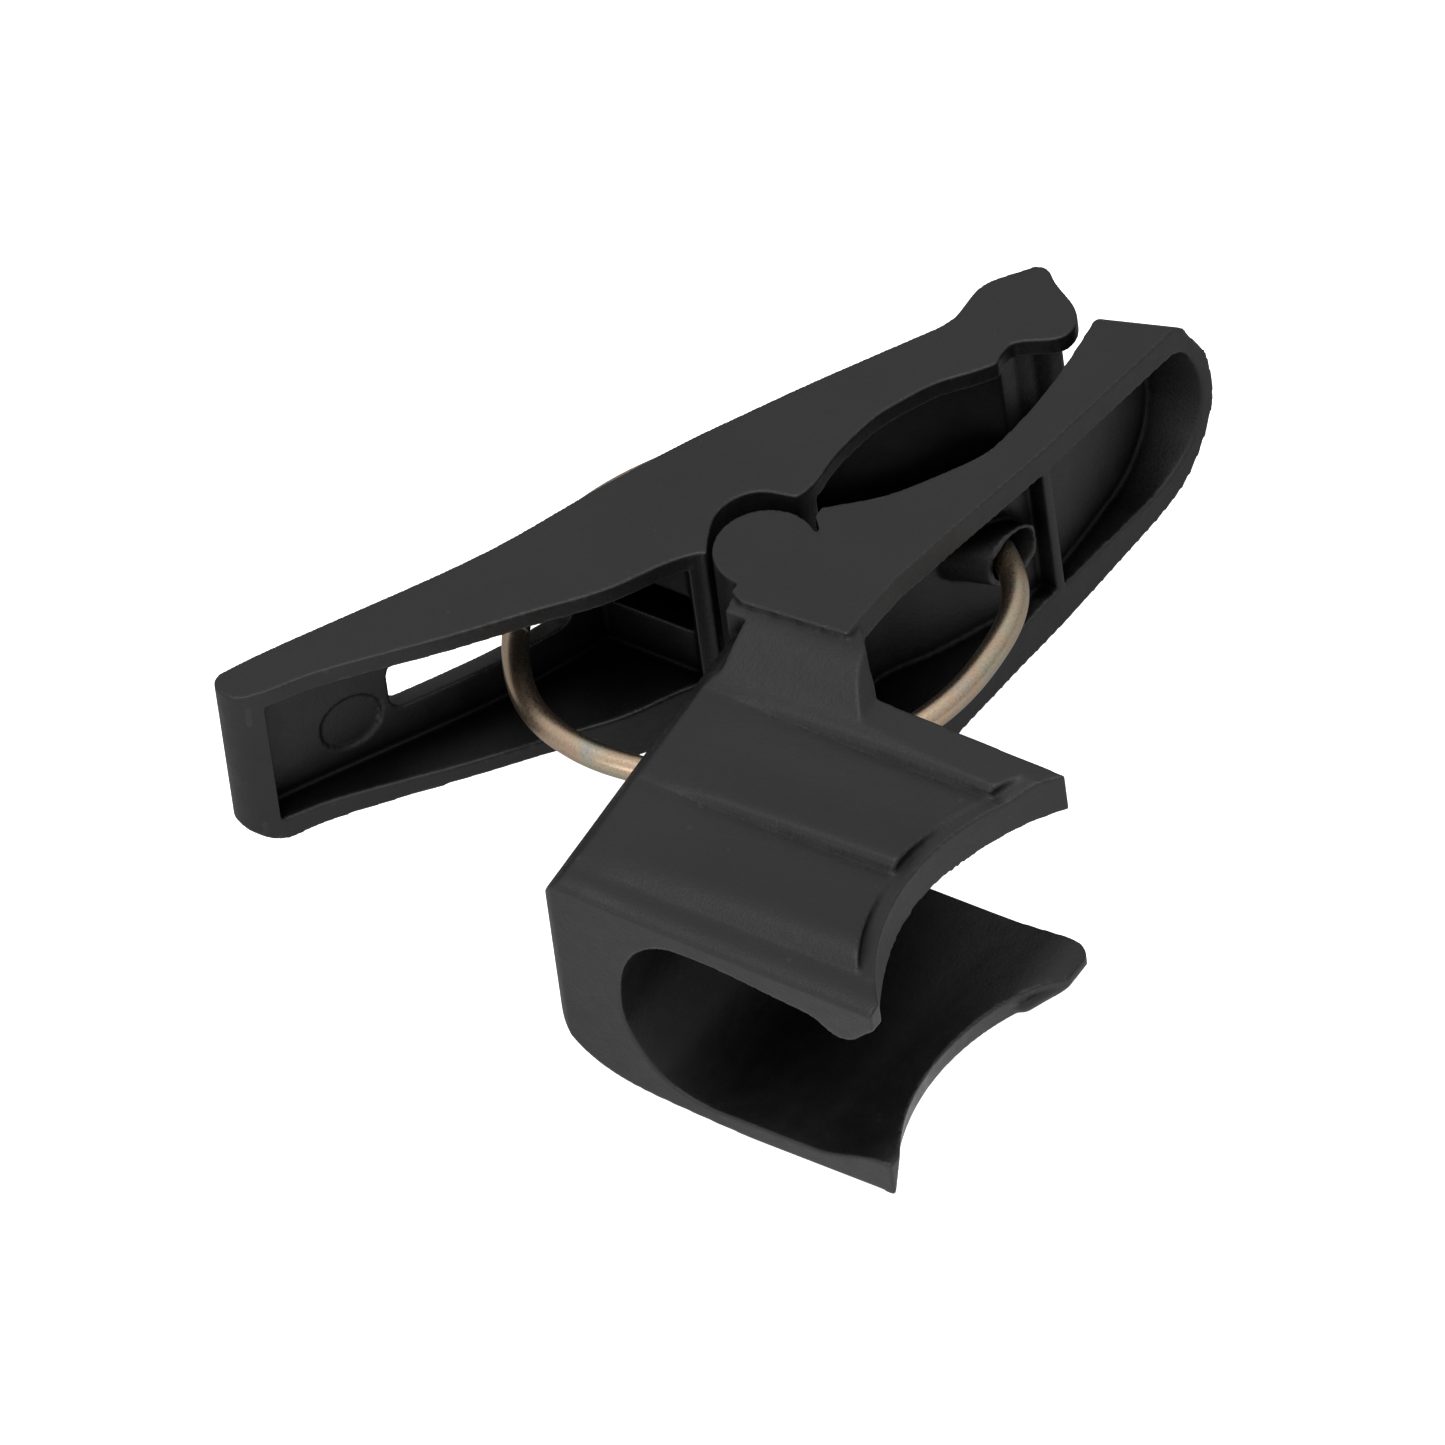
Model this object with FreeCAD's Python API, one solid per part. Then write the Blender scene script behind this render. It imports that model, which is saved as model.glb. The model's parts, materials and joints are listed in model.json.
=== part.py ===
import FreeCAD, Part
import os
import math

# Spring clip: two moulded levers on a common pivot, a wire ring spring, and a
# U-shaped holder moulded onto one of the levers. Millimetres.
#
# Shapes are laid out from the pivot: the pivot axis is Z, +X runs along the
# holder channel towards the jaws, +Y runs across towards the plain lever, and
# the mouth of the holder faces -Y. On export every piece is shifted so that
# the origin is the middle of the holder channel.

Vector = FreeCAD.Vector
Z_AXIS = Vector(0, 0, 1)

# ---------------------------------------------------------- shared dimensions
TOP_Z = 5.05                 # upper faces of both levers
PLAIN_BOTTOM_Z = -5.95       # lower face of the plain lever
MID_Z = (TOP_Z + PLAIN_BOTTOM_Z) / 2    # plane of the ring spring
BLOCK_BOTTOM_Z = -8.1        # lower end of the bearing block and the boss
BOSS_R = 2.85                # pivot boss on the holder lever

CHANNEL_X0, CHANNEL_X1 = -24.5, -5.5    # ends of the holder channel
CHANNEL_BACK_Y = -5.05
CHANNEL_TOP_Z = 1.25         # underside of the upper plate
CHANNEL_LOW_Z = -10.35       # upper face of the lower plate
HOLDER_MID = Vector((CHANNEL_X0 + CHANNEL_X1) / 2, -12.5,
                    (CHANNEL_TOP_Z + CHANNEL_LOW_Z) / 2)

# An outline is a list of (kind, points) runs; consecutive runs share end points.
LINE, CURVE = "line", "curve"

# where an outline point (a, b) lies in space, for each drawing plane
PLANES = {
    "XY": lambda a, b, level: Vector(a, b, level),
    "XZ": lambda a, b, level: Vector(a, level, b),
    "YZ": lambda a, b, level: Vector(level, a, b),
}


# -------------------------------------------------------------------- helpers
def outline_wire(outline, plane, level):
    """Closed wire: straight LINE runs and interpolated CURVE runs."""
    edges = []
    for kind, points in outline:
        vectors = [PLANES[plane](a, b, level) for a, b in points]
        if kind == LINE:
            for start, end in zip(vectors[:-1], vectors[1:]):
                edges.append(Part.LineSegment(start, end).toShape())
        else:
            curve = Part.BSplineCurve()
            curve.interpolate(vectors)
            edges.append(curve.toShape())
    return Part.Wire(Part.__sortEdges__(edges))


def prism(outline, plane, level, sweep):
    return Part.Face(outline_wire(outline, plane, level)).extrude(sweep)


def prism_xy(outline, z0, z1):
    return prism(outline, "XY", z0, Vector(0, 0, z1 - z0))


def prism_yz(outline, x0, x1):
    return prism(outline, "YZ", x0, Vector(x1 - x0, 0, 0))


def box(x0, x1, y0, y1, z0, z1):
    return Part.makeBox(x1 - x0, y1 - y0, z1 - z0, Vector(x0, y0, z0))


def upright(x, y, z0, z1, radius):
    """Cylinder parallel to the pivot."""
    return Part.makeCylinder(radius, z1 - z0, Vector(x, y, z0), Z_AXIS)


def largest_solid(shape, name):
    """Merge split faces and keep the one real solid, dropping only crumbs."""
    solids = sorted(shape.removeSplitter().Solids, key=lambda solid: -solid.Volume)
    loose = sum(solid.Volume for solid in solids[1:])
    if loose > 0.5:
        raise RuntimeError("%s falls apart: %.2f mm3 loose" % (name, loose))
    solid = solids[0]
    if not solid.isValid():
        solid.fix(1e-4, 1e-4, 1e-4)
    return solid


def offset_points(points, distance):
    """Shift an open run of points to the right of its direction of travel."""
    shifted = []
    for i, (x, y) in enumerate(points):
        before = points[max(i - 1, 0)]
        after = points[min(i + 1, len(points) - 1)]
        dx, dy = after[0] - before[0], after[1] - before[1]
        length = math.hypot(dx, dy)
        shifted.append((x + distance * dy / length, y - distance * dx / length))
    return shifted


# ---------------------------------------------------------------- plain lever
FLANGE_T = 1.15              # upper and lower flange
WEB_T = 1.1                  # web along the +Y side
BEARING_PLAY = 0.13          # radial gap round the boss
RING_ROOM = 1.3              # half height left free for the ring in the ribs

WINDOW_X0, WINDOW_X1 = -13.3, -3.4      # window for the ring, in the web
WINDOW_Y0 = 16.4             # Y of the window at WINDOW_X0
WINDOW_SLOPE = 0.535         # fall in Y per unit of X
WINDOW_HALF_DEPTH = 3.0      # reach of the cutter to each side of the web
WINDOW_HALF_HEIGHT = 1.75
WINDOW_ROUND = 0.9

MARK_R, MARK_LENGTH, MARK_LEAD = 1.85, 0.35, 0.2
MARK_POINT, MARK_AXIS = Vector(-15.61, 17.13, -1.7), Vector(0.507, 0.862, 0)
HOOK_R, HOOK_LENGTH, HOOK_LEAD = 1.0, 4.0, 0.62
HOOK_POINT, HOOK_AXIS = Vector(12.75, 3.55, MID_Z), Vector(0.477, 0.879, 0)

# Plan outline, (X, Y) seen from above.
# +Y side, from the -X end of the lever to the nose
PLAIN_OUTER = [
    (-20.9, 21.35), (-18.42, 20.05), (-15.96, 18.60), (-13.5, 17.12), (-11.03, 15.63),
    (-8.51, 14.17), (-5.86, 12.80), (-2.96, 11.55), (-0.06, 10.33), (2.71, 9.03), (5.42, 7.68),
    (7.94, 6.27), (10.47, 4.85), (12.99, 3.36), (15.45, 1.86), (17.91, 0.35)]
PLAIN_END = [(-20.9, 21.35), (-21.7, 21.1), (-22.1, 20.2), (-21.95, 19.35), (-21.6, 18.95)]
# inner side, from the end wall to the socket
PLAIN_INNER = [
    (-21.6, 18.95), (-20.7, 18.2), (-19.2, 17.2), (-17.4, 15.70), (-15.39, 13.86),
    (-13.57, 12.17), (-11.01, 9.98), (-9.3, 8.52), (-7.96, 7.3), (-5.82, 5.62), (-3.6, 4.35),
    (-1.95, 3.0)]
# socket that rides round the boss
SOCKET = [
    (-1.95, 3.0), (-1.75, 2.58), (-0.96, 3.02), (-0.04, 3.42), (0.89, 3.66), (1.82, 3.58),
    (2.65, 3.22), (3.19, 2.75), (3.56, 2.15), (3.78, 1.3), (3.95, 0.5)]
# side of the leaf-shaped gap between the jaws
PLAIN_LEAF = [
    (3.95, 0.5), (5.52, 0.12), (6.87, 0.2), (7.92, 0.2), (9.65, 0.0), (11.19, -0.31),
    (12.42, -0.8), (13.59, -1.34), (14.63, -1.95), (15.48, -2.68), (16.34, -3.41), (17.2, -4.0)]
NOSE_INNER = [(17.2, -4.0), (17.95, -3.86), (18.7, -3.92)]
NOSE_TIP = [
    (18.7, -3.92), (19.4, -4.75), (20.25, -6.0), (20.8, -6.3), (21.87, -6.15), (22.47, -5.71),
    (23.2, -4.6), (24.15, -3.15)]
NOSE_END = [(24.15, -3.15), (24.4, -2.6), (24.33, -2.15), (24.0, -1.83)]
NOSE_OUTER = [(24.0, -1.83), (23.0, -1.0), (22.35, -0.5)]
NOSE_BACK = [
    (22.35, -0.5), (21.75, -0.24), (21.0, -0.1), (20.2, -0.13), (19.4, -0.17), (18.6, 0.03),
    (17.91, 0.35)]
PLAIN_PLAN = [
    (CURVE, PLAIN_OUTER), (CURVE, PLAIN_END), (CURVE, PLAIN_INNER), (LINE, SOCKET[:2]),
    (CURVE, SOCKET[1:]), (CURVE, PLAIN_LEAF), (CURVE, NOSE_INNER), (CURVE, NOSE_TIP),
    (CURVE, NOSE_END), (LINE, NOSE_OUTER), (CURVE, NOSE_BACK)]


def plain_side_outline():
    """(X, Z) side view: bevelled below at the -X end, rounded at the jaw end."""
    low = PLAIN_BOTTOM_Z
    end_low = low - 0.4
    return [
        (LINE, [(-13.5, low), (10, low), (20.9, low)]),
        (CURVE, [(20.9, low), (22.3, low + 0.25), (23.2, low + 1.0), (23.75, low + 1.95),
                 (24.15, low + 2.75), (24.6, low + 4.4)]),
        (LINE, [(24.6, low + 4.4), (24.6, TOP_Z), (-23, TOP_Z), (-23, end_low + 2.3)]),
        (CURVE, [(-23, end_low + 2.3), (-22.2, end_low + 1.25), (-21.5, end_low + 0.35),
                 (-20.7, end_low)]),
        (LINE, [(-20.7, end_low), (-13.5, low)])]


def corner_facet():
    """Cutter for the sloping facet under the corner of the -X end."""
    a, b, c = Vector(-22.3, 20.5, -4.85), Vector(-21.5, 18.7, -6.4), Vector(-20.1, 21.2, -6.4)
    downward = (c - a).cross(b - a)
    downward.normalize()
    return Part.makeCylinder(8, 8, a, downward)


def plain_gutter():
    """Cutter for the channel between the flanges, open towards the other lever."""
    web_inner = offset_points(PLAIN_OUTER, WEB_T)
    outline = [
        (CURVE, web_inner),
        (LINE, [web_inner[-1], (19.6, -2.3), (21.0, -2.2), (22.3, -2.55), (23.1, -3.1),
                (26, -4.5), (26, -9), (-26, -9), (-26, 9.0), (-20.7, 17.0), (-20.7, 17.3),
                web_inner[0]])]
    gutter = prism_xy(outline, PLAIN_BOTTOM_Z + FLANGE_T, TOP_Z - FLANGE_T)
    end_wall = box(-26.3, -21.15, 15, 21, -15, 15)
    gutter = gutter.cut(end_wall)

    # the bearing and two cross ribs stay; the ribs leave room for the ring
    bearing = upright(0.9, 0.6, PLAIN_BOTTOM_Z - 4, TOP_Z + 1, 4.35)
    ribs = box(-1.75, -0.75, 2.0, 12.5, PLAIN_BOTTOM_Z, TOP_Z)
    ribs = ribs.fuse(box(4.3, 5.3, 0.0, 9.0, PLAIN_BOTTOM_Z, TOP_Z))
    ring_room = box(-8, 12, 0, 12.5, MID_Z - RING_ROOM, MID_Z + RING_ROOM)
    ribs = ribs.cut(ring_room.cut(bearing))
    return gutter.cut(bearing).cut(ribs)


def web_window():
    """Cutter for the window in the web, with rounded ends."""
    dx = WINDOW_X1 - WINDOW_X0
    dy = -dx * WINDOW_SLOPE
    window = box(0, math.hypot(dx, dy), -WINDOW_HALF_DEPTH, WINDOW_HALF_DEPTH,
                 MID_Z - WINDOW_HALF_HEIGHT, MID_Z + WINDOW_HALF_HEIGHT)
    through_edges = [edge for edge in window.Edges
                     if abs(edge.tangentAt(edge.FirstParameter).y) > 0.99]
    window = window.makeFillet(WINDOW_ROUND, through_edges).Solids[0]
    window.rotate(Vector(0, 0, 0), Z_AXIS, math.degrees(math.atan2(dy, dx)))
    window.translate(Vector(WINDOW_X0, WINDOW_Y0, 0))
    return window


def make_plain_lever():
    body = prism_xy(PLAIN_PLAN, PLAIN_BOTTOM_Z - 0.5, TOP_Z)
    body = body.common(prism(plain_side_outline(), "XZ", 24, Vector(0, -34, 0)))
    body = body.cut(corner_facet())

    # bearing block round the pivot, deeper than the lever itself
    block = prism_xy(PLAIN_PLAN, BLOCK_BOTTOM_Z, PLAIN_BOTTOM_Z + 0.5)
    block = block.common(box(-8.4, 4.4, 1.5, 12, -12, 6))
    block = block.common(upright(-1.8, 4.2, -12, 6, 6.6))
    body = body.fuse(block)

    body = body.cut(plain_gutter())
    body = body.cut(upright(0, 0, -20, 20, BOSS_R + BEARING_PLAY))
    body = body.cut(web_window())

    # shallow round mark on the inside of the web
    mark_start = MARK_POINT - MARK_AXIS * MARK_LEAD
    body = body.cut(Part.makeCylinder(MARK_R, MARK_LENGTH, mark_start, MARK_AXIS))
    # hole in the web for the hooked end of the ring
    hook_start = HOOK_POINT - HOOK_AXIS * HOOK_LEAD
    body = body.cut(Part.makeCylinder(HOOK_R, HOOK_LENGTH, hook_start, HOOK_AXIS))
    return largest_solid(body, "plain_lever")


# ------------------------------------------------------ holder lever, jaw half
HOLLOW_TOP_Z = TOP_Z - 1.7   # underside of the upper flange
RIB_X, RIB_T = 12.8, 0.55    # cross rib inside the jaw

SEAT = Vector(9.95, -9.75, MID_Z)       # round seat for the spring end
SEAT_AXIS = Vector(-0.28, 0.96, 0)
SEAT_R, SEAT_LENGTH = 1.75, 6
SEAT_HOLE_AXIS = Vector(-0.2, 0.98, 0)
SEAT_HOLE_R, SEAT_HOLE_LENGTH, SEAT_HOLE_LEAD = 1.5, 2.5, 0.2
NOTCH_HALF_HEIGHT = 0.95

# The side outlines are swept along LEAN; they hold true at Y = LEAN_Y and the
# sweep starts LEAN_LEAD lengths of LEAN before it.
LEAN = Vector(1.35, -4.16, 0)
LEAN_Y = -7.1
LEAN_LEAD = 1.7

# (X, Y) plan of the jaw: +Y side, then -Y side, then round the pivot
JAW_LEAF = [
    (2.3, -2.0), (3.2, -1.15), (3.88, -1.1), (4.91, -2.31), (6.0, -3.52), (6.86, -4.24),
    (8.32, -5.22), (9.85, -6.16), (11.2, -6.85), (12.6, -7.15), (14.5, -7.33), (18.06, -7.35),
    (20.5, -7.15), (28.0, -6.6)]
JAW_OUTER = [(30.0, -12.2), (23.5, -11.2), (12.6, -9.6), (5.2, -8.2), (1.3, -7.5), (-1.9, -7.33)]
JAW_PIVOT = [
    (-3.45, -7.3), (-3.95, -0.95), (-3.65, -0.3), (-3.15, 0.4), (-2.6, 1.15), (-1.5, 1.0)]
JAW_PLAN = [
    (LINE, JAW_LEAF[:3]), (CURVE, JAW_LEAF[2:]), (LINE, [JAW_LEAF[-1], JAW_OUTER[0]]),
    (LINE, JAW_OUTER), (LINE, [JAW_OUTER[-1]] + JAW_PIVOT + [JAW_LEAF[0]])]

# (X, Z) side view of the jaw
JAW_SIDE = [
    (LINE, [(-6.0, TOP_Z), (22.2, TOP_Z)]),
    (CURVE, [(22.2, TOP_Z), (22.75, 4.7), (23.3, 3.6), (24.15, 1.8), (24.5, -0.2),
             (24.5, -1.5), (24.2, -2.9), (23.5, -4.3), (22.5, -5.6), (21.4, -6.45),
             (20.0, -6.95), (18.6, -7.2)]),
    (LINE, [(18.6, -7.2), (8.0, -8.8), (-6.0, -11.35), (-6.0, TOP_Z)])]

# (X, Z) side view of the hollow in it
HOLLOW_SIDE = [
    (LINE, [(-14.0, HOLLOW_TOP_Z), (21.6, HOLLOW_TOP_Z)]),
    (CURVE, [(21.6, HOLLOW_TOP_Z), (22.6, 2.9), (23.3, 1.6), (23.68, -0.2), (23.68, -1.3),
             (23.35, -2.5), (22.7, -3.6), (21.6, -4.5), (20.2, -5.1), (18.0, -5.35)]),
    (LINE, [(18.0, -5.35), (11.0, -5.6), (3.0, -7.4), (-3.8, -9.9), (-14.0, -9.9),
            (-14.0, HOLLOW_TOP_Z)])]

# (X, Y) inner face of the web, from the jaw end to the back of the channel
WEB_INNER = [
    (29.0, -8.0), (24.0, -8.45), (18.0, -8.65), (14.5, -8.63), (12.2, -8.4), (10.5, -7.9),
    (8.9, -7.0), (7.4, -6.05), (6.0, -5.1), (4.6, -3.95), (3.2, -3.3), (1.5, -3.75),
    (-1.0, -4.3), (-5.4, CHANNEL_BACK_Y)]
HOLLOW_PLAN = [
    (CURVE, WEB_INNER),
    (LINE, [WEB_INNER[-1], (-13.0, CHANNEL_BACK_Y - 0.4), (-13.0, -24), (29.0, -24),
            WEB_INNER[0]])]


def leaning_prism(outline, depth):
    """Side outline swept along LEAN over a depth measured along -Y."""
    shape = prism(outline, "XZ", LEAN_Y - LEAN.y * LEAN_LEAD, LEAN * (depth / -LEAN.y))
    shape.translate(Vector(-LEAN.x * LEAN_LEAD, 0, 0))
    return shape


def make_jaw():
    jaw = prism_xy(JAW_PLAN, -12, TOP_Z).common(leaning_prism(JAW_SIDE, 14.0))
    return jaw.fuse(upright(0, 0, BLOCK_BOTTOM_Z, TOP_Z, BOSS_R))


def jaw_hollow():
    """Cutter for the hollow of the jaw, open to -Y and running into the channel."""
    hollow = prism_xy(HOLLOW_PLAN, -12, TOP_Z).common(leaning_prism(HOLLOW_SIDE, 19.0))
    # the holder and the neck plate above the hollow stay whole
    hollow = hollow.cut(box(-40, CHANNEL_X1, -40, 20, -20, 20))
    hollow = hollow.cut(box(-6, -2.0, -24, 5, CHANNEL_TOP_Z + 0.3, 10))
    rib = box(RIB_X - RIB_T / 2, RIB_X + RIB_T / 2, -9.75, -6, -12, 8)
    seat = Part.makeCylinder(SEAT_R, SEAT_LENGTH, SEAT, SEAT_AXIS)
    return hollow.cut(rib).cut(seat)


# -------------------------------------------------------- holder lever, holder
BLANK_TOP_Z = 6.0            # the blank is trimmed below this by the top envelope
NECK_X = -2.2                # +X end of the holder, inside the jaw half
PLATE_TIP_Y = -21.9          # free edges of both plates
LOW_BOTTOM_Z = -11.55        # underside of the lower plate
BACK_WINDOW_HALF_HEIGHT = 1.15

MOUTH_X, MOUTH_Y, MOUTH_R = -14.9, -31.35, 13.25    # concave edge, upper plate
RIM_WIDTH, RIM_Z = 0.9, 2.5  # level rim along that edge
FOOT_R = 0.9
BLUNT_R = 0.95

# (Y, Z) cross section of the solid blank
BLANK_SECTION = [
    (LINE, [(0.4, BLANK_TOP_Z), (PLATE_TIP_Y, BLANK_TOP_Z), (PLATE_TIP_Y, -9.75)]),
    (CURVE, [(PLATE_TIP_Y, -9.75), (PLATE_TIP_Y - 0.25, -10.2), (PLATE_TIP_Y - 0.2, -11.0),
             (PLATE_TIP_Y + 0.35, -11.5), (PLATE_TIP_Y + 1.3, LOW_BOTTOM_Z)]),
    (LINE, [(PLATE_TIP_Y + 1.3, LOW_BOTTOM_Z), (-13.0, LOW_BOTTOM_Z)]),
    (CURVE, [(-13.0, LOW_BOTTOM_Z), (-11.0, -11.45), (-8.5, -11.25), (-5.4, -10.9),
             (-3.3, -10.25), (-1.6, -9.0), (-0.6, -7.3), (-0.2, -5.0)]),
    (LINE, [(-0.2, -5.0), (0.4, BLANK_TOP_Z)])]

# Channel sections just beyond its ends: X, (Y, Z) of the upper lip, of the lower lip
CHANNEL_START = (
    CHANNEL_X0 - 0.6,
    [(PLATE_TIP_Y, 1.55), (-21.35, 1.05), (-20.6, 0.35), (-19.8, -0.38), (-19.1, -0.52),
     (-18.45, -0.3), (-17.7, 0.25)],
    [(-17.6, -10.15), (-18.9, -9.7), (-20.3, -9.3), (-21.4, -9.35), (PLATE_TIP_Y, -9.75)])
CHANNEL_END = (
    CHANNEL_X1 + 0.4,
    [(PLATE_TIP_Y, 0.42), (-21.35, 0.36), (-20.6, 0.3), (-19.8, 0.26), (-19.1, 0.25),
     (-18.45, 0.3), (-17.7, 0.42)],
    [(-17.6, -10.3), (-18.9, -10.2), (-20.3, -10.05), (-21.4, -10.1), (PLATE_TIP_Y, -10.25)])

# Upper face at stations along Y: Y, X of the three steps, then the heights at
# their feet, between them and on their ridges
TOP_STATIONS = [
    (8.0, (-22.75, -15.95, -8.75), 3.17, 3.2, 3.22),
    (-3.2, (-22.75, -15.95, -8.75), 3.13, 3.18, 3.22),
    (-5.8, (-22.65, -15.8, -8.65), 2.90, 3.0, 3.24),
    (-11.0, (-22.55, -15.6, -8.5), 2.70, 2.8, 3.22),
    (-20.0, (-22.4, -15.25, -8.3), 2.48, 2.55, 3.14),
    (-28.0, (-22.3, -15.0, -8.2), 2.3, 2.4, 3.02)]

# (Y, Z) region kept beside the neck, so that it does not follow the ramp
NECK_SECTION = [
    (LINE, [(10, 10), (-8.3, 10), (-8.3, 4.9), (-10.3, 3.4), (PLATE_TIP_Y - 2, 2.95),
            (PLATE_TIP_Y - 2, -14), (10, -14), (10, 10)])]

# (X, Z) cutter that lets the rim climb to the level of the pad at its +X end
RIM_CLIMB = [(LINE, [(-8.1, 2.0), (-8.1, 2.5), (-6.0, 3.3), (-3.0, 3.3), (-3.0, 2.0),
                     (-8.1, 2.0)])]

# (X, Y) plan: back edge, -X end, mouth side, +X end
HOLDER_PLAN = [
    (CURVE, [(NECK_X, 0.3), (-4.2, -0.2), (-6.3, -0.24), (-8.5, -0.27), (-12.22, -0.32),
             (-16.62, -0.36), (-21.27, -0.38), (-23.0, -0.45)]),
    (CURVE, [(-23.0, -0.45), (-23.9, -0.62), (-24.4, -1.15), (CHANNEL_X0, -2.1)]),
    (LINE, [(CHANNEL_X0, -2.1), (CHANNEL_X0, -23), (CHANNEL_X1, -23), (CHANNEL_X1, -10.15)]),
    (CURVE, [(CHANNEL_X1, -10.15), (-5.1, -9.85), (-4.4, -9.15)]),
    (LINE, [(-4.4, -9.15), (NECK_X, -7.33), (NECK_X, 0.3)])]

# (Y, Z) cutter that rounds the upper +Y edge of the back wall
BACK_ROUND = [
    (LINE, [(3, 0.3), (0.62, 0.3)]),
    (CURVE, [(0.62, 0.3), (0.45, 1.0), (0.2, 1.7), (-0.12, 2.3), (-0.45, 2.7),
             (-0.85, 3.05), (-1.4, 3.35)]),
    (LINE, [(-1.4, 3.35), (-1.4, 5.5), (3, 5.5), (3, 0.3)])]
BACK_ROUND_SHIFT_Y = -0.42
BACK_ROUND_TURN = 2.3        # degrees


def channel_wire(x, upper_lip, lower_lip):
    """Section of the channel, open beyond the plate tips."""
    return outline_wire([
        (LINE, [(-30, BLANK_TOP_Z - 4.2), upper_lip[0]]),
        (CURVE, upper_lip + [(-16.4, 0.55), (-13.0, 1.02), (-10.6, CHANNEL_TOP_Z),
                             (-9.0, CHANNEL_TOP_Z)]),
        (CURVE, [(-9.0, CHANNEL_TOP_Z), (-7.9, 0.98), (-6.5, 0.0), (-5.6, -1.45),
                 (-5.15, -3.2), (CHANNEL_BACK_Y, -4.86)]),
        (CURVE, [(CHANNEL_BACK_Y, -4.86), (-5.3, -6.3), (-6.05, -7.85), (-7.1, -9.2),
                 (-8.5, -10.0), (-10.2, CHANNEL_LOW_Z)]),
        (LINE, [(-10.2, CHANNEL_LOW_Z), (-16.2, CHANNEL_LOW_Z)]),
        (CURVE, [(-16.2, CHANNEL_LOW_Z)] + lower_lip),
        (LINE, [lower_lip[-1], (-30, -10.3), (-30, BLANK_TOP_Z - 4.2)])], "YZ", x)


def top_wire(y, steps, low, mid, high):
    """Upper outline at y: three shingle-shaped pads, then the ramp to the neck."""
    first, second, third = steps
    rise, fall = high - low, high - mid

    def steep_step(x):
        return [(x, low), (x + 0.16, low + rise * 0.55), (x + 0.42, low + rise * 0.95)]

    return outline_wire([
        (LINE, [(-26, -14), (-26, low - 0.9), (-24.6, low - 0.35)]),
        (CURVE, [(-24.6, low - 0.35), (-24.2, low - 0.1), (-23.6, low + 0.02),
                 (first - 0.5, low), (first, low)]),
        (CURVE, [(first, low), (first + 0.45, low + rise * 0.42),
                 (first + 1.0, low + rise * 0.84), (first + 1.65, high),
                 (first + 2.6, high - fall * 0.2), (first + 4.6, high - fall * 0.75),
                 (second - 1.0, mid), (second, low)]),
        (CURVE, steep_step(second) + [
            (second + 0.9, high), (second + 2.0, high - fall * 0.35),
            (second + 3.6, high - fall * 0.85), (third - 1.2, mid), (third, low)]),
        (CURVE, steep_step(third) + [
            (third + 0.9, high + 0.1), (-6.5, 3.85), (-5.4, 4.35), (-3.7, 4.72)]),
        (LINE, [(-3.7, 4.72), (3.0, 4.72), (3.0, -14), (-26, -14)])], "XZ", y)


def back_round():
    cutter = prism_yz(BACK_ROUND, -26, -4.6)
    cutter.translate(Vector(0, BACK_ROUND_SHIFT_Y, 0))
    cutter.rotate(Vector(-12.22, BACK_ROUND_SHIFT_Y, 0), Z_AXIS, BACK_ROUND_TURN)
    return cutter


def make_foot():
    """Rounded lug under the lower plate, near its +X tip."""
    start, end = Vector(-9.6, -20.2, -10.95), Vector(-7.7, -21.0, -10.95)
    foot = Part.makeSphere(FOOT_R, start).fuse(Part.makeSphere(FOOT_R, end))
    foot = foot.fuse(Part.makeCylinder(FOOT_R, (end - start).Length, start, end - start))
    return foot.common(box(-12, -5.6, -23, -18, -12.5, -10.7))


def make_holder():
    # C section: the blank less the channel, which runs on straight past its +X end
    holder = prism_yz(BLANK_SECTION, CHANNEL_X0, NECK_X)
    channel = Part.makeLoft([channel_wire(*CHANNEL_START), channel_wire(*CHANNEL_END)],
                            True, True)
    beyond = Part.Face(channel_wire(*CHANNEL_END)).extrude(Vector(12, 0, 0))
    holder = holder.cut(channel).cut(beyond)

    # upper face
    envelope = Part.makeLoft([top_wire(*station) for station in TOP_STATIONS], True, True)
    holder = holder.common(envelope)
    neck = prism_yz(NECK_SECTION, -8.9, 4.0)
    holder = holder.common(neck.fuse(box(-27, -8.9, -30, 10, -14, 10)))
    rim = upright(MOUTH_X, MOUTH_Y, RIM_Z, RIM_Z + 6, MOUTH_R + RIM_WIDTH)
    rim = rim.cut(prism(RIM_CLIMB, "XZ", -5, Vector(0, -40, 0)))
    holder = holder.cut(rim)

    holder = holder.common(prism_xy(HOLDER_PLAN, -14, 8))
    holder = holder.cut(back_round())

    # concave free edges of the two plates, and the blunted tips at the -X end
    upper_mouth = upright(MOUTH_X, MOUTH_Y, -3.0, 8, MOUTH_R)
    lower_mouth = Part.makeCone(13.98, 13.15, 4.15, Vector(-16.5, -32.75, -12.2), Z_AXIS)
    tips = box(-30, -23.6, -25, -21.35, -14, 8)
    holder = holder.cut(upper_mouth).cut(lower_mouth).cut(tips)

    # rounded +X corner of the lower plate
    corner = box(-6.45, -5.3, -23.2, -21.25, -13, -8.5)
    holder = holder.cut(corner.cut(upright(-6.45, -21.25, -13, -8.5, BLUNT_R)))
    return holder.fuse(make_foot())


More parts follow.
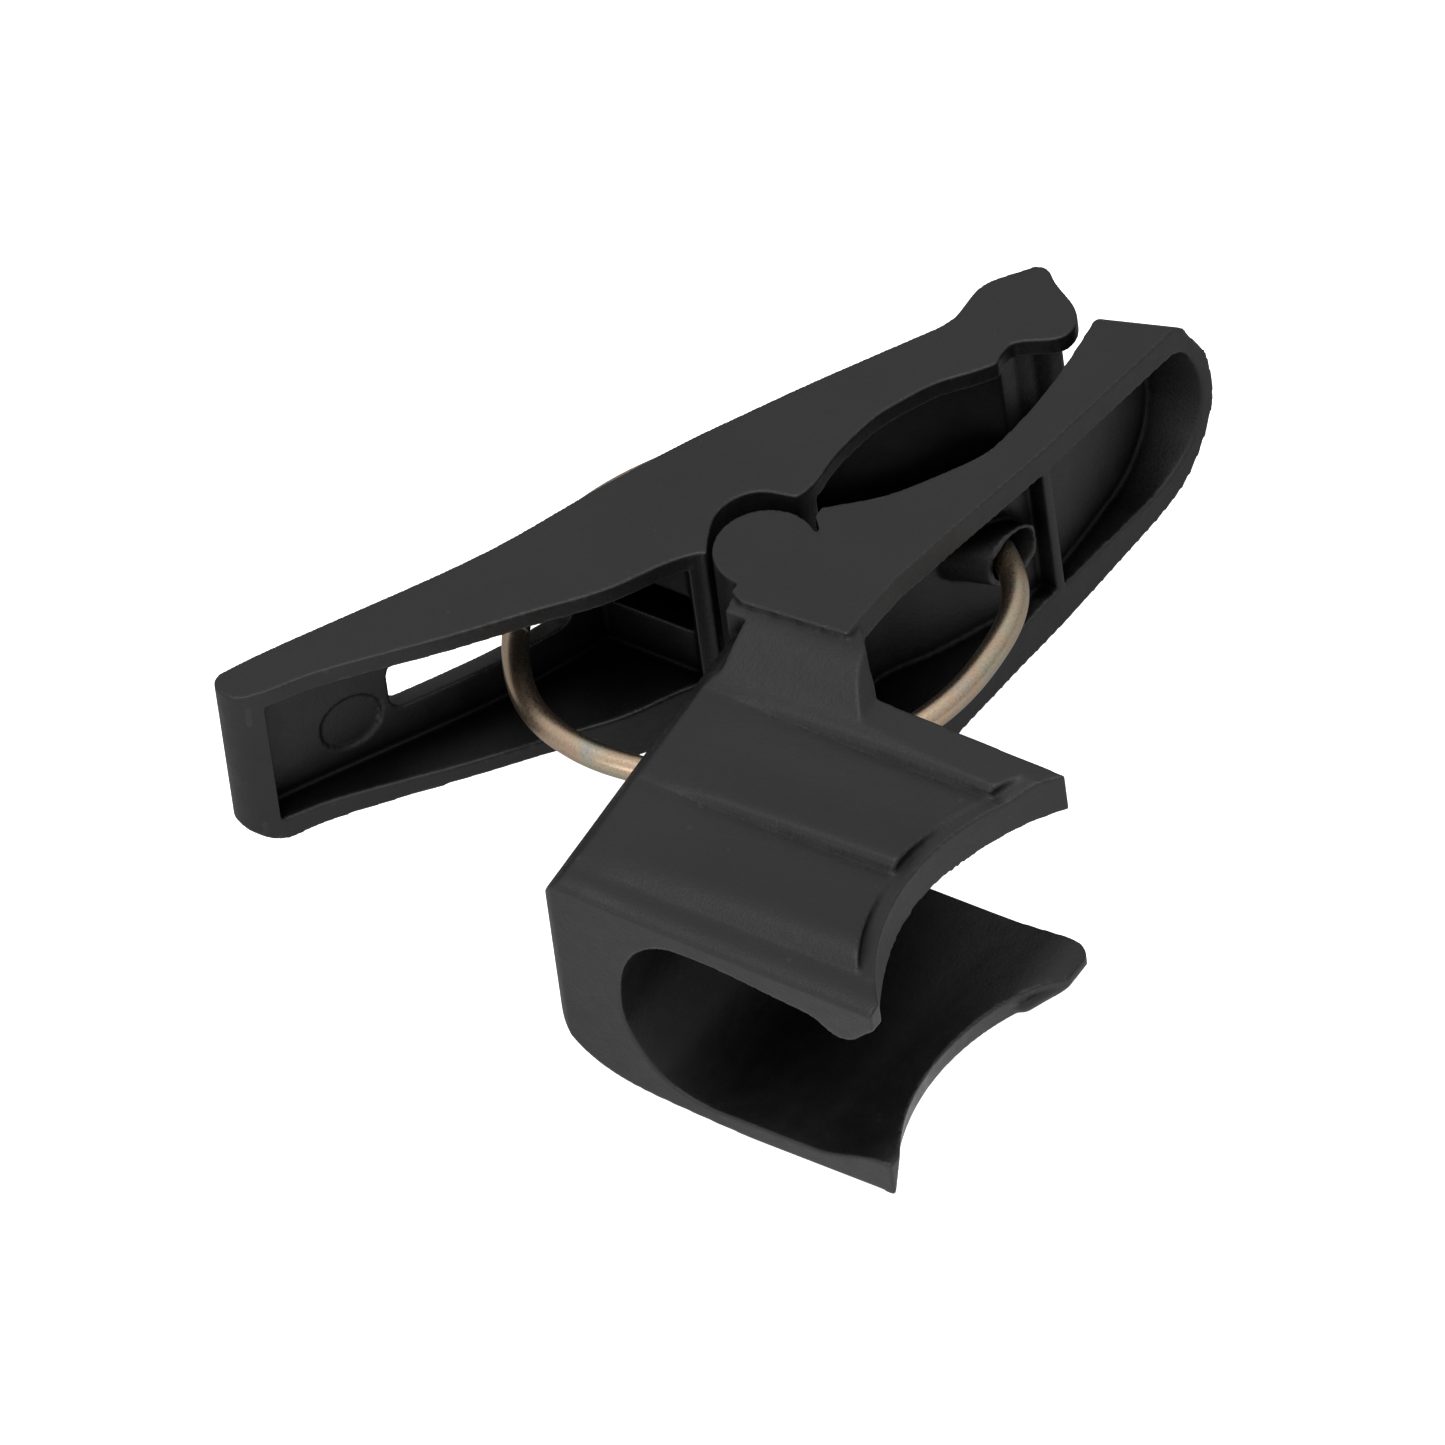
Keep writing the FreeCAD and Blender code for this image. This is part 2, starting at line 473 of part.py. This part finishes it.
def make_holder_lever():
    body = make_jaw().fuse(make_holder())
    body = body.cut(jaw_hollow())

    # hole in the seat for the spring end, and a notch in its rim for the wire
    hole_start = SEAT - SEAT_AXIS * SEAT_HOLE_LEAD
    body = body.cut(Part.makeCylinder(SEAT_HOLE_R, SEAT_HOLE_LENGTH, hole_start,
                                      SEAT_HOLE_AXIS))
    body = body.cut(box(SEAT.x - 3.2, SEAT.x - 0.2, SEAT.y - 1.5, SEAT.y + 1.05,
                        SEAT.z - NOTCH_HALF_HEIGHT, SEAT.z + NOTCH_HALF_HEIGHT))
    # window for the ring through the back wall of the channel
    body = body.cut(box(-14.6, -8.35, -7.2, 3.0, MID_Z - BACK_WINDOW_HALF_HEIGHT,
                        MID_Z + BACK_WINDOW_HALF_HEIGHT))
    return largest_solid(body, "holder_lever")


# ---------------------------------------------------------------- ring spring
WIRE_D = 1.5
PATH_STEP = 0.75             # spacing of the resampled path points
RELAX_ROUNDS = 2

# (X, Y) centreline, from the seat in the holder lever round to the hook
RING_PATH = [
    (9.75, -8.2), (9.3, -8.8), (8.65, -9.55), (7.8, -10.3), (6.9, -10.85), (5.2, -11.45),
    (2.84, -11.74), (0.2, -11.75), (-2.46, -11.24), (-5.4, -10.0), (-8.1, -8.0),
    (-10.4, -5.2), (-12.0, -1.9), (-12.75, 1.5), (-12.76, 4.37), (-11.95, 7.3), (-10.4, 9.5),
    (-8.14, 11.3), (-6.1, 12.4), (-3.9, 13.25), (-1.3, 13.7), (1.4, 13.5), (4.2, 12.6),
    (6.8, 11.2), (9.2, 9.4), (11.2, 7.6), (12.7, 6.1), (13.35, 4.95), (13.1, 4.1),
    (12.85, 3.55)]


def resample(points, step):
    """Evenly spaced points along a polyline."""
    reached = [0.0]
    for a, b in zip(points[:-1], points[1:]):
        reached.append(reached[-1] + math.hypot(b[0] - a[0], b[1] - a[1]))
    count = max(int(round(reached[-1] / step)), 4)
    even, k = [], 0
    for i in range(count + 1):
        target = reached[-1] * i / count
        while k < len(points) - 2 and reached[k + 1] < target:
            k += 1
        part = (target - reached[k]) / (reached[k + 1] - reached[k])
        a, b = points[k], points[k + 1]
        even.append((a[0] + part * (b[0] - a[0]), a[1] + part * (b[1] - a[1])))
    return even


def relax(points):
    """Average each inner point with its neighbours, to smooth the bends."""
    inner = [((a[0] + 2 * b[0] + c[0]) / 4, (a[1] + 2 * b[1] + c[1]) / 4)
             for a, b, c in zip(points[:-2], points[1:-1], points[2:])]
    return [points[0]] + inner + [points[-1]]


def make_ring():
    rough = Part.BSplineCurve()
    rough.interpolate([Vector(x, y, 0) for x, y in RING_PATH])
    points = resample([(p.x, p.y) for p in rough.discretize(400)], PATH_STEP)
    for _ in range(RELAX_ROUNDS):
        points = relax(points)

    centreline = Part.BSplineCurve()
    centreline.interpolate([Vector(x, y, MID_Z) for x, y in points])
    start = Vector(points[0][0], points[0][1], MID_Z)
    tangent = centreline.tangent(centreline.FirstParameter)[0]
    pipe = Part.BRepOffsetAPI.MakePipeShell(Part.Wire([centreline.toShape()]))
    pipe.setBiNormalMode(Z_AXIS)
    pipe.add(Part.Wire([Part.makeCircle(WIRE_D / 2, start, tangent)]))
    pipe.build()
    pipe.makeSolid()
    return pipe.shape().Solids[0]


# --------------------------------------------------------------------- export
os.makedirs("parts", exist_ok=True)
pieces = {
    "plain_lever": make_plain_lever(),
    "holder_lever": make_holder_lever(),
    "ring_spring": make_ring(),
}
for name, piece in pieces.items():
    piece = piece.copy()
    piece.translate(HOLDER_MID * -1)
    piece.exportStep("parts/%s.step" % name)
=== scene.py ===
"""Two black plastic levers, one plain and one a holder, joined at a pivot and
sprung by an open ring of zinc-plated wire.

The ring lies level, in an XY plane around the pivot, and Z points up. Lengths
are in metres. The wire is drawn in millimetres from the pivot, then scaled.
"""
import bmesh
import bpy
import json
import math
from itertools import accumulate
from mathutils import Matrix, Vector


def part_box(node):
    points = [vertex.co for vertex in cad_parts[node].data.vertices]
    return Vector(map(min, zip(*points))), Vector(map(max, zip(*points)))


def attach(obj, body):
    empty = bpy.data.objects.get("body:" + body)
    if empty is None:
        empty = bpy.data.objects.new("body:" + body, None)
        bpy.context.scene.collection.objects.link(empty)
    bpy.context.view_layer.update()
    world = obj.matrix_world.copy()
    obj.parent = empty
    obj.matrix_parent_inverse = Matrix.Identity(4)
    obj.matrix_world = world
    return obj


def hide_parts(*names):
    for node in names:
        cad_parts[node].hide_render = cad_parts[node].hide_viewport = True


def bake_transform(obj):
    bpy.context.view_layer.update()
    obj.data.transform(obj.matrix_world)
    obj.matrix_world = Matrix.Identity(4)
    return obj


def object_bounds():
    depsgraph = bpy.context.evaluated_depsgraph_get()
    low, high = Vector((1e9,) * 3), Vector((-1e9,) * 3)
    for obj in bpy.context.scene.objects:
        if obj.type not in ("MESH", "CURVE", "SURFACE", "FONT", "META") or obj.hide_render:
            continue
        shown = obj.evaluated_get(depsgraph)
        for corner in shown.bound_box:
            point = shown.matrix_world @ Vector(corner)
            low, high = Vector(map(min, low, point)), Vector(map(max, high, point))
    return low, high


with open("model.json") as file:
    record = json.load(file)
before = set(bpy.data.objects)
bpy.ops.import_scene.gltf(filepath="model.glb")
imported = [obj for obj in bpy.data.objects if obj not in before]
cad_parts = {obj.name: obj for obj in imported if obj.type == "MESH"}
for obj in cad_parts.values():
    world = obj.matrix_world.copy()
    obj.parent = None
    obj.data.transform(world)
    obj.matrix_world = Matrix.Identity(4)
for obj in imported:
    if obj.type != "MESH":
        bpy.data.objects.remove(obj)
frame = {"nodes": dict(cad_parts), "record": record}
scene = bpy.context.scene

MM = 0.001
WHITE = (1.0, 1.0, 1.0, 1.0)


def plain_bounds():
    """Bounds as plain lists, ready for JSON."""
    low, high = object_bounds()
    return [[float(v) for v in low], [float(v) for v in high]]


cad_box = plain_bounds()
pivot = Vector(frame["record"]["behaviour"]["joints"][0]["pos_m"])
ring_low, ring_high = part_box("ring_spring")
ring_z = (ring_low[2] + ring_high[2]) / 2
wire_radius = (ring_high[2] - ring_low[2]) / 2 / MM     # mm


# ---------------------------------------------------------------- shader nodes
class Graph:
    """Adds nodes to one node tree. Inputs may be constants or output sockets."""

    def __init__(self, tree):
        self.tree = tree

    def feed(self, target, inputs):
        for key, value in inputs.items():
            if isinstance(value, bpy.types.NodeSocket):
                self.tree.links.new(value, target.inputs[key])
            else:
                target.inputs[key].default_value = value

    def node(self, kind, inputs=None, **settings):
        made = self.tree.nodes.new("ShaderNode" + kind)
        for key, value in settings.items():
            setattr(made, key, value)
        self.feed(made, inputs or {})
        return made

    def noise(self, place, scale, detail, roughness, distortion=0.0):
        return self.node("TexNoise", {
            "Vector": place, "Scale": scale, "Detail": detail,
            "Roughness": roughness, "Distortion": distortion}).outputs["Fac"]

    def ramp(self, source, stops):
        """Colour ramp; each stop is (position, RGB colour)."""
        made = self.node("ValToRGB", {"Fac": source})
        elements = made.color_ramp.elements
        while len(elements) < len(stops):
            elements.new(0.5)
        for element, (position, colour) in zip(elements, stops):
            element.position = position
            element.color = (*colour, 1)
        return made.outputs["Color"]

    def grey_ramp(self, source, low, high):
        """Grey ramp between two stops, each (position, grey value)."""
        return self.ramp(source, [(position, (grey,) * 3) for position, grey in (low, high)])

    def mix(self, blend, factor, base, other):
        # sockets of a Mix node in colour mode: 0 factor, 6 A, 7 B, output 2 result
        return self.node("Mix", {0: factor, 6: base, 7: other},
                         data_type="RGBA", blend_type=blend).outputs[2]

    def math(self, operation, first, second, clamp=False):
        return self.node("Math", {0: first, 1: second},
                         operation=operation, use_clamp=clamp).outputs[0]

    def times(self, value, by, clamp=False):
        return self.math("MULTIPLY", value, by, clamp)

    def plus(self, value, add):
        return self.math("ADD", value, add)

    def occlusion(self, distance):
        return self.node("AmbientOcclusion", {"Distance": distance},
                         samples=8, only_local=True).outputs["AO"]

    def bump(self, height, strength, distance, under=None):
        """Bump normal, laid over the normal `under` if one is given."""
        inputs = {"Strength": strength, "Distance": distance, "Height": height}
        if under is not None:
            inputs["Normal"] = under
        return self.node("Bump", inputs).outputs["Normal"]


def new_material(name):
    """Material with an empty node tree but for its output node."""
    material = bpy.data.materials.new(name)
    material.use_nodes = True
    material.node_tree.nodes.clear()
    graph = Graph(material.node_tree)
    return material, graph, graph.node("OutputMaterial")


def new_principled(name):
    material, graph, output = new_material(name)
    bsdf = graph.node("BsdfPrincipled")
    graph.feed(output, {"Surface": bsdf.outputs[0]})
    return material, graph, bsdf


# ------------------------------------------------------------------- materials
def black_plastic(name, shift):
    """Grained black plastic; `shift` moves the pattern so that parts differ."""
    material, graph, bsdf = new_principled(name)
    pointiness = graph.node("NewGeometry").outputs["Pointiness"]
    place = graph.node("Mapping", {
        "Vector": graph.node("TexCoord").outputs["Object"],
        "Location": (shift, shift * 1.7, -shift)}).outputs["Vector"]
    # clouds about 6 mm wide, flow mottling of 1 mm, moulded grain of 0.2 mm, dust specks
    clouds = graph.noise(place, scale=160.0, detail=3.0, roughness=0.5)
    mottling = graph.noise(place, scale=900.0, detail=4.0, roughness=0.6)
    grain = graph.noise(place, scale=5200.0, detail=3.0, roughness=0.65)
    specks = graph.noise(place, scale=2400.0, detail=1.0, roughness=0.4)

    colour = graph.ramp(clouds, [(0.30, (0.0032, 0.0033, 0.0035)),
                                 (0.72, (0.0058, 0.0058, 0.0060))])
    grain_tone = graph.grey_ramp(grain, low=(0.30, 0.72), high=(0.70, 1.30))
    colour = graph.mix("MULTIPLY", factor=0.75, base=colour, other=grain_tone)
    mottled_tone = graph.grey_ramp(mottling, low=(0.35, 0.88), high=(0.65, 1.12))
    colour = graph.mix("MULTIPLY", factor=0.7, base=colour, other=mottled_tone)
    dust = graph.times(graph.grey_ramp(specks, low=(0.765, 0), high=(0.80, 1)), by=0.25)
    colour = graph.mix("MIX", factor=dust, base=colour, other=(0.035, 0.034, 0.032, 1))

    # convex edges: a painted highlight makes them a little lighter; they are also smoother
    edge_highlight = graph.grey_ramp(pointiness, low=(0.515, 0), high=(0.57, 1))
    edge_highlight = graph.times(graph.times(edge_highlight, by=mottling), by=0.8, clamp=True)
    # painted highlight: a lighter grey laid on the convex edges
    colour = graph.mix("MIX", factor=edge_highlight, base=colour, other=(0.026, 0.026, 0.0265, 1))
    roughness = graph.grey_ramp(mottling, low=(0.25, 0.40), high=(0.75, 0.52))
    roughness = graph.math("SUBTRACT", roughness, graph.times(edge_highlight, by=0.18))

    # painted shade: recesses are painted darker and lose their sheen, from ambient occlusion:
    # a wide term for the hollows, a narrow one and a pointiness one for the feet of the steps
    hollow_shade = graph.grey_ramp(graph.occlusion(distance=14 * MM),
                              low=(0.30, 0.03), high=(0.74, 1.0))
    steps = graph.grey_ramp(graph.occlusion(distance=1.2 * MM),
                            low=(0.58, 0.12), high=(0.90, 1.0))
    crease_shade = graph.grey_ramp(pointiness, low=(0.440, 0.10), high=(0.494, 1.0))
    painted_shade_factor = graph.times(graph.times(hollow_shade, by=steps), by=crease_shade)
    shaded_sheen = graph.times(painted_shade_factor, by=0.5)
    # painted shade: the colour goes nearly black in the shaded recesses and creases
    colour = graph.mix("MIX", factor=painted_shade_factor, base=(0.0012, 0.0012, 0.0013, 1), other=colour)

    # moulded grain, with very shallow ripples over it
    normal = graph.bump(grain, strength=0.55, distance=0.04 * MM)
    normal = graph.bump(mottling, strength=0.25, distance=0.10 * MM, under=normal)
    graph.feed(bsdf, {"Base Color": colour, "Roughness": roughness, "IOR": 1.49,
                      "Specular IOR Level": shaded_sheen, "Normal": normal})
    return material


def zinc_wire(name):
    """Drawn wire with a blotchy yellowish passivation."""
    material, graph, bsdf = new_principled(name)
    place = graph.node("TexCoord").outputs["Object"]
    # U runs round the wire and V along it
    along_wire = graph.node("Mapping", {
        "Vector": graph.node("UVMap").outputs["UV"],
        "Scale": (26.0, 90.0, 1.0)}).outputs["Vector"]
    drawn = graph.noise(along_wire, scale=1.0, detail=3.0, roughness=0.6)
    blotches = graph.noise(place, scale=330.0, detail=3.0, roughness=0.55, distortion=0.4)
    fine = graph.noise(place, scale=4200.0, detail=2.0, roughness=0.6)

    colour = graph.ramp(blotches, [(0.30, (0.40, 0.39, 0.37)), (0.46, (0.50, 0.43, 0.31)),
                                   (0.58, (0.54, 0.39, 0.28)), (0.72, (0.46, 0.40, 0.32))])
    drawn_tone = graph.grey_ramp(drawn, low=(0.35, 0.70), high=(0.65, 1.08))
    colour = graph.mix("MULTIPLY", factor=0.6, base=colour, other=drawn_tone)
    roughness = graph.grey_ramp(drawn, low=(0.3, 0.26), high=(0.7, 0.40))
    normal = graph.bump(drawn, strength=0.25, distance=0.02 * MM)
    normal = graph.bump(fine, strength=0.15, distance=0.02 * MM, under=normal)
    graph.feed(bsdf, {"Base Color": colour, "Metallic": 1.0, "Roughness": roughness,
                      "Normal": normal})
    return material


def floor_white(name):
    """White floor that glows evenly for the camera and unevenly for the object."""
    material, graph, output = new_material(name)
    diffuse = graph.node("BsdfDiffuse", {"Color": (0.90, 0.90, 0.90, 1)})
    glow = graph.node("Emission", {"Color": WHITE, "Strength": 1.0})
    seen = graph.node("AddShader", {0: diffuse.outputs[0], 1: glow.outputs[0]})

    # the light on the object is strongest from the floor towards -X -Y
    position = graph.node("NewGeometry").outputs["Position"]
    level = graph.node("VectorMath", {0: position, 1: (1, 1, 0)}, operation="MULTIPLY")
    heading = graph.node("VectorMath", {0: level.outputs["Vector"]}, operation="NORMALIZE")
    facing = graph.node("VectorMath", {0: heading.outputs["Vector"], 1: (-0.80, -0.60, 0)},
                        operation="DOT_PRODUCT").outputs["Value"]
    strength = graph.plus(graph.times(facing, by=0.38), add=0.70)
    cast = graph.node("Emission", {"Color": WHITE, "Strength": strength})

    camera_ray = graph.node("LightPath").outputs["Is Camera Ray"]
    surface = graph.node("MixShader", {0: camera_ray, 1: cast.outputs[0], 2: seen.outputs[0]})
    graph.feed(output, {"Surface": surface.outputs[0]})
    return material


# ---------------------------------------------------------------------- levers
VOXEL = 0.11 * MM


def dress(name, material):
    """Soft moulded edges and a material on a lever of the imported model."""
    lever = frame["nodes"][name]
    weld = lever.modifiers.new("weld", "WELD")
    weld.merge_threshold = 1e-7
    skin = lever.modifiers.new("skin", "REMESH")
    skin.mode = "VOXEL"
    skin.voxel_size = VOXEL
    skin.use_smooth_shade = True
    soften = lever.modifiers.new("soften", "SMOOTH")
    soften.factor = 0.5
    soften.iterations = 5
    lever.data.materials.clear()
    lever.data.materials.append(material)


dress("plain_lever", black_plastic("plastic_plain", shift=0.013))
dress("holder_lever", black_plastic("plastic_holder", shift=0.041))

# ----------------------------------------------------------------- ring spring
# centreline of the wire: x, y in mm from the pivot
WIRE_PATH = [
    (9.75, -8.2), (9.3, -8.8), (8.65, -9.55), (7.8, -10.3), (6.9, -10.85),
    (5.2, -11.45), (2.84, -11.74), (0.2, -11.75), (-2.46, -11.24), (-5.4, -10.0),
    (-8.1, -8.0), (-10.4, -5.2), (-12.0, -1.9), (-12.75, 1.5), (-12.76, 4.37),
    (-11.95, 7.3), (-10.4, 9.5), (-8.14, 11.3), (-6.1, 12.4), (-3.9, 13.25),
    (-1.3, 13.7), (1.4, 13.5), (4.2, 12.6), (6.8, 11.2), (9.2, 9.4),
    (11.2, 7.6), (12.7, 6.1), (13.35, 4.95), (13.1, 4.1), (12.85, 3.55)]
WEB_POINT = (-7.2, 11.85)   # mm, where the wire passes through the web of the plain lever
RING_SPACING = 0.25         # mm between rings of vertices
WIRE_SIDES = 28
END_BEVEL = 0.16            # mm
V_LENGTH = 10.0             # mm of wire to one unit of V
CAP_U = 0.1                 # U of the flat end faces


def distances(points, start=0.0):
    """Distance travelled at each point of a polyline."""
    return list(accumulate(map(math.dist, points, points[1:]), initial=start))


def catmull_rom(points, steps):
    """Smooth curve through all points, in `steps` pieces per span."""
    first = tuple(2 * a - b for a, b in zip(points[0], points[1]))
    last = tuple(2 * a - b for a, b in zip(points[-1], points[-2]))
    padded = [first, *points, last]
    curve = []
    for i in range(len(points) - 1):
        for step in range(steps):
            t = step / steps
            curve.append(tuple(
                0.5 * (2 * start + (end - before) * t
                       + (2 * before - 5 * start + 4 * end - after) * t * t
                       + (3 * start - before - 3 * end + after) * t ** 3)
                for before, start, end, after in zip(*padded[i:i + 4])))
    return curve + [points[-1]]


def resample(curve, spacing):
    """Points at even distances, as near to `spacing` as fits."""
    travelled = distances(curve)
    count = round(travelled[-1] / spacing)
    points = []
    k = 0
    for i in range(count + 1):
        goal = travelled[-1] * i / count
        while k < len(curve) - 2 and travelled[k + 1] < goal:
            k += 1
        part = (goal - travelled[k]) / (travelled[k + 1] - travelled[k])
        points.append(tuple(a + part * (b - a) for a, b in zip(curve[k], curve[k + 1])))
    return points


def relax(points, rounds):
    """Even out kinks; the two ends stay put."""
    for _ in range(rounds):
        inner = [tuple((a + 2 * b + c) / 4 for a, b, c in zip(*three))
                 for three in zip(points, points[1:], points[2:])]
        points = [points[0], *inner, points[-1]]
    return points


def bevel_rings(ring, way):
    """Two narrowing rings beyond an end ring; way is 1 along the wire, -1 back."""
    centre, tangent, radius = ring
    # shares of the bevel: how far out, how much narrower
    return [(tuple(c + way * t * END_BEVEL * out for c, t in zip(centre, tangent)),
             tangent, radius - narrower * END_BEVEL)
            for out, narrower in ((0.5, 0.35), (1.0, 1.0))]


def wire_piece(name, line, material, bevel_start=False, bevel_end=False, length_before=0.0):
    """Closed tube along a line; returns it and the wire length at its end, in mm."""
    rings = []      # centre, unit tangent, radius
    for i, centre in enumerate(line):
        behind, ahead = line[max(i - 1, 0)], line[min(i + 1, len(line) - 1)]
        run = math.dist(behind, ahead)
        rings.append((centre, tuple((b - a) / run for a, b in zip(behind, ahead)), wire_radius))
    if bevel_start:
        rings = bevel_rings(rings[0], way=-1)[::-1] + rings
    if bevel_end:
        rings += bevel_rings(rings[-1], way=1)

    verts = []
    for (x, y), (along_x, along_y), radius in rings:
        for j in range(WIRE_SIDES):
            angle = 2 * math.pi * j / WIRE_SIDES
            sideways = math.cos(angle) * radius
            verts.append((pivot.x + (x + along_y * sideways) * MM,
                          pivot.y + (y - along_x * sideways) * MM,
                          ring_z + math.sin(angle) * radius * MM))

    lengths = distances([ring[0] for ring in rings], start=length_before)
    faces, uvs = [], []
    for k in range(len(rings) - 1):
        near, far = k * WIRE_SIDES, (k + 1) * WIRE_SIDES
        v_near, v_far = lengths[k] / V_LENGTH, lengths[k + 1] / V_LENGTH
        for j in range(WIRE_SIDES):
            beside = (j + 1) % WIRE_SIDES
            faces.append((near + j, near + beside, far + beside, far + j))
            u, u_beside = j / WIRE_SIDES, (j + 1) / WIRE_SIDES
            uvs += [(u, v_near), (u_beside, v_near), (u_beside, v_far), (u, v_far)]
    last_ring = (len(rings) - 1) * WIRE_SIDES
    faces.append(tuple(reversed(range(WIRE_SIDES))))
    faces.append(tuple(last_ring + j for j in range(WIRE_SIDES)))
    for length in (lengths[0], lengths[-1]):
        uvs += [(CAP_U, length / V_LENGTH)] * WIRE_SIDES

    mesh = bpy.data.meshes.new(name)
    mesh.from_pydata(verts, [], faces)
    for corner, uv in zip(mesh.uv_layers.new(name="UVMap").data, uvs):
        corner.uv = uv
    mesh.update()
    bm = bmesh.new()
    bm.from_mesh(mesh)
    bmesh.ops.recalc_face_normals(bm, faces=bm.faces)
    bm.to_mesh(mesh)
    bm.free()
    for face in mesh.polygons:
        face.use_smooth = len(face.vertices) == 4
    mesh.materials.append(material)
    piece = bpy.data.objects.new(name, mesh)
    scene.collection.objects.link(piece)
    return piece, lengths[-1]


wire_line = relax(resample(catmull_rom(WIRE_PATH, steps=12), RING_SPACING), rounds=14)
cut = min(range(len(wire_line)), key=lambda i: math.dist(wire_line[i], WEB_POINT))
wire_material = zinc_wire("zinc_wire")
lower, lower_length = wire_piece("ring_spring_lower", wire_line[:cut + 1], wire_material,
                                 bevel_start=True)
upper, _ = wire_piece("ring_spring_upper", wire_line[cut:], wire_material,
                      bevel_end=True, length_before=lower_length)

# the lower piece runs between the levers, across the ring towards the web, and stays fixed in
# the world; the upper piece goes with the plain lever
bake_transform(lower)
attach(upper, "plain_lever")
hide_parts("ring_spring")

# ----------------------------------------------------------------------- floor
FLOOR_HALF = 3.0
FLOOR_GAP = 0.00005
floor_z = cad_box[0][2] - FLOOR_GAP
floor_mesh = bpy.data.meshes.new("floor")
floor_mesh.from_pydata([(x * FLOOR_HALF, y * FLOOR_HALF, floor_z)
                        for x, y in ((-1, -1), (1, -1), (1, 1), (-1, 1))],
                       [], [(0, 1, 2, 3)])
floor = bpy.data.objects.new("floor", floor_mesh)
scene.collection.objects.link(floor)
floor_mesh.materials.append(floor_white("floor_white"))

# ----------------------------------------------------------------------- world
# white, brighter overhead and towards -X
world = bpy.data.worlds.new("studio")
scene.world = world
world.use_nodes = True
sky = Graph(world.node_tree)
direction = sky.node("SeparateXYZ", {"Vector": sky.node("TexCoord").outputs["Generated"]})
overhead = sky.times(sky.math("MAXIMUM", direction.outputs["Z"], 0.0), by=0.60)
sideways_light = sky.times(direction.outputs["X"], by=-0.12)
sky.feed(world.node_tree.nodes["Background"], {
    "Color": WHITE,
    "Strength": sky.plus(sky.plus(overhead, add=sideways_light), add=0.40)})

# ---------------------------------------------------------------------- camera
AZIMUTH = math.radians(52.5)        # from -Y towards -X
ELEVATION = math.radians(46.05)
ROLL = math.radians(8.0)
CAMERA_DISTANCE = 2.2
VIEW_WIDTH = 76.8617021 * MM        # seen across the picture at the target
SENSOR_WIDTH = 36.0                 # mm
TARGET_Z = 0.00455

level_right = Vector((math.cos(AZIMUTH), -math.sin(AZIMUTH), 0.0))
to_camera = Vector((-math.sin(AZIMUTH) * math.cos(ELEVATION),
                    -math.cos(AZIMUTH) * math.cos(ELEVATION), math.sin(ELEVATION)))
level_up = to_camera.cross(level_right)
right = level_right * math.cos(ROLL) - level_up * math.sin(ROLL)
up = level_right * math.sin(ROLL) + level_up * math.cos(ROLL)
# offsets that place the object in the picture
target = (Vector((pivot.x, pivot.y, TARGET_Z))
          + level_up * 0.003507 - right * 0.00226 - up * 0.00928)

lens = bpy.data.cameras.new("camera")
lens.sensor_width = SENSOR_WIDTH
lens.sensor_fit = "HORIZONTAL"
lens.lens = SENSOR_WIDTH * CAMERA_DISTANCE / VIEW_WIDTH
lens.clip_start = 0.05
lens.clip_end = 50.0
camera = bpy.data.objects.new("camera", lens)
scene.collection.objects.link(camera)
camera.matrix_world = (Matrix.Translation(target + to_camera * CAMERA_DISTANCE)
                       @ Matrix((right, up, to_camera)).transposed().to_4x4())
scene.camera = camera

# ---------------------------------------------------------------------- lights
LIGHT_AIM = Vector((0.003, 0, 0))


def square_light(name, place, size, watts):
    light = bpy.data.lights.new(name, "AREA")
    light.shape = "RECTANGLE"
    light.size = size
    light.size_y = size
    light.energy = watts
    lamp = bpy.data.objects.new(name, light)
    scene.collection.objects.link(lamp)
    lamp.location = place
    aim = (LIGHT_AIM - Vector(place)).normalized()
    lamp.rotation_euler = aim.to_track_quat("-Z", "Y").to_euler()


square_light("top", place=(-0.06, -0.04, 0.62), size=0.34, watts=0.9)
square_light("left", place=(-0.60, 0.06, 0.26), size=0.22, watts=0.55)
square_light("front", place=(-0.22, -0.62, 0.40), size=0.16, watts=0.25)
scene.view_settings.view_transform = "Standard"
